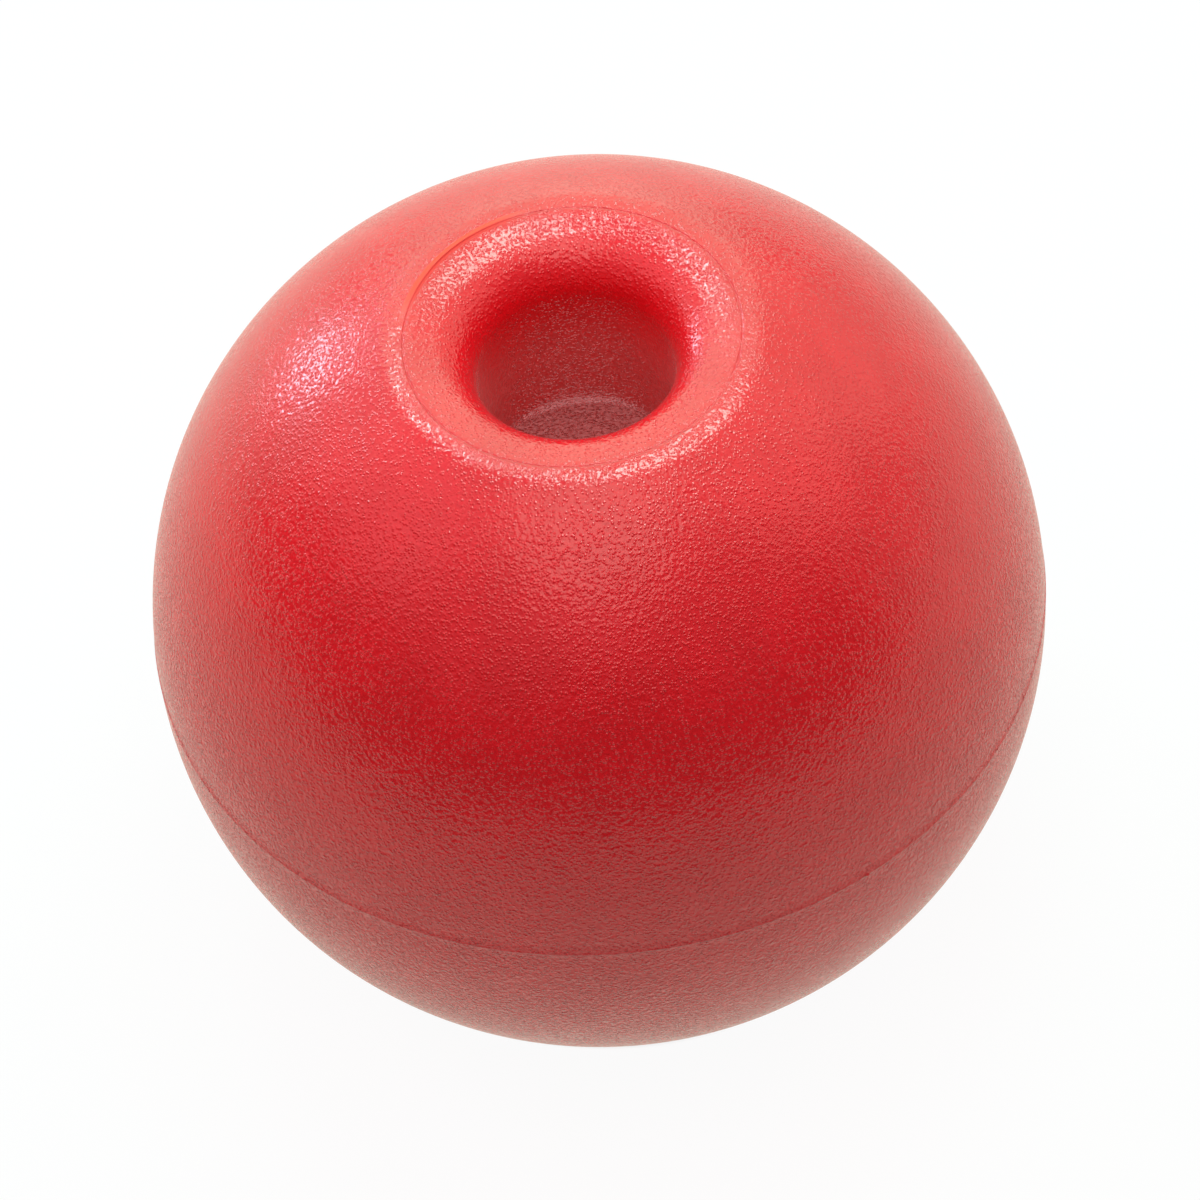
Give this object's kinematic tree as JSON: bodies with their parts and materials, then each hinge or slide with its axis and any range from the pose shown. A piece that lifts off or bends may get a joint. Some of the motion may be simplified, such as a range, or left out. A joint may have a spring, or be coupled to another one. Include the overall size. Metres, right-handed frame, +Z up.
{
  "type": "ball knob",
  "caption": "Matt moulded ball for the end of a pull cord, with a flared bore for the cord and a round recess below it that hides the knot.",
  "frame": {"origin": "centre of the flat ring that the ball stands on, round the mouth of the knot recess", "axes": "+Z up along the cord's bore and out of its flared mouth"},
  "size_m": [0.032, 0.032, 0.0271],
  "materials": {
    "ball": "fine spark-eroded grain, satin"
  },
  "bodies": {
    "root": {"ball_knob": "ball"}
  },
  "joints": []
}
